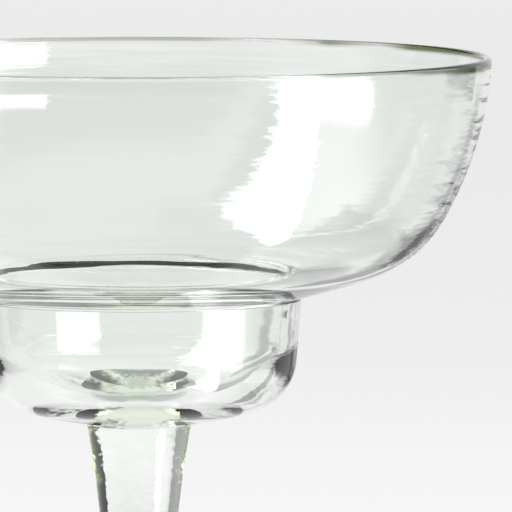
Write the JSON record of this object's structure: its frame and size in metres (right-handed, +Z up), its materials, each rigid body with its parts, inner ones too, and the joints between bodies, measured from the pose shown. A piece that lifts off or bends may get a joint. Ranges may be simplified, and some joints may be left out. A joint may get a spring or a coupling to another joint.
{
  "type": "margarita glass",
  "caption": "Clear stemmed glass: a wide round-shouldered coupe steps in to a smaller straight well, on a solid drawn stem and a round foot.",
  "frame": {"origin": "on the table under the middle of the foot", "axes": "+Z up along the axis of the bowl, the stem and the foot"},
  "size_m": [0.1208, 0.1208, 0.168],
  "materials": {
    "blown_glass": "clear soda-lime glass with a faint green tint, blown, with a fire-polished rim",
    "drawn_glass": "clear soda-lime glass with a faint green tint, drawn solid",
    "pressed_glass": "clear soda-lime glass with a faint green tint, flattened hot and fire-polished"
  },
  "bodies": {
    "root": {"bowl": "blown_glass", "stem": "drawn_glass", "foot": "pressed_glass"}
  },
  "joints": []
}
